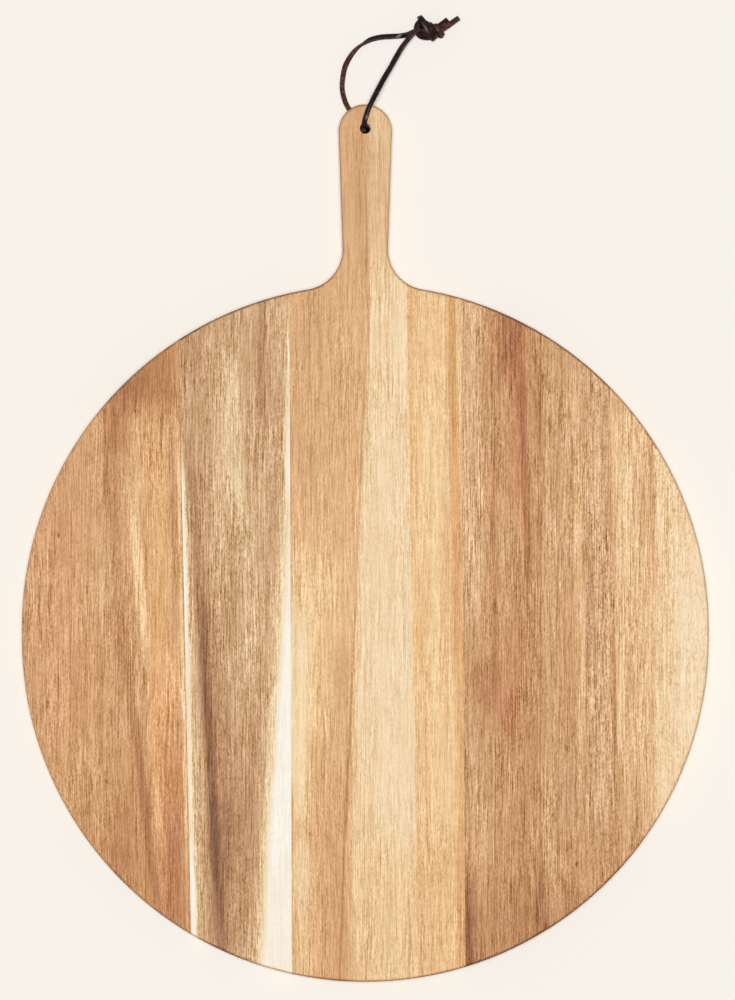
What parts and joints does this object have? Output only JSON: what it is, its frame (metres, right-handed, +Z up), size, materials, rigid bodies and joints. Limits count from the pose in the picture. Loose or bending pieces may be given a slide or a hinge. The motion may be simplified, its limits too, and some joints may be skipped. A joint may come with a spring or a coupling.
{
  "type": "pizza serving board",
  "caption": "Round wooden serving board of edge-glued staves with eased edges, a straight handle and a knotted leather hanging lace.",
  "frame": {"origin": "middle of the round plate on its underside, where the board rests on a table", "axes": "+X across the grain to the right, +Y along the grain from the plate towards the handle's end, +Z up out of the serving face"},
  "size_m": [0.4, 0.5645, 0.0185],
  "materials": {
    "outer_left_wood": "oiled, satin, reddish tan with golden streaks",
    "inner_left_wood": "oiled, satin, grey brown with pale sapwood",
    "handle_wood": "oiled, satin, honey and cream",
    "slim_right_wood": "oiled, satin, golden with cross figure",
    "inner_right_wood": "oiled, satin, brown with darker streaks",
    "outer_right_wood": "oiled, satin, light tan",
    "lace_leather": "dark brown, waxed on one side and rough on the other"
  },
  "bodies": {
    "board": {"outer_left_stave": "outer_left_wood", "inner_left_stave": "inner_left_wood", "handle_stave": "handle_wood", "slim_right_stave": "slim_right_wood", "inner_right_stave": "inner_right_wood", "outer_right_stave": "outer_right_wood"},
    "lace": {"lace_front_leg": "lace_leather", "lace_back_leg": "lace_leather", "lace_knot": "lace_leather", "lace_long_tail": "lace_leather", "lace_short_tail": "lace_leather"}
  },
  "joints": [
    {"name": "lace_swing", "type": "hinge", "parent": "board", "child": "lace", "pos_m": [0, 0.294, 0.009], "axis": [0, 0, 1], "range_deg": [-80, 60]}
  ]
}
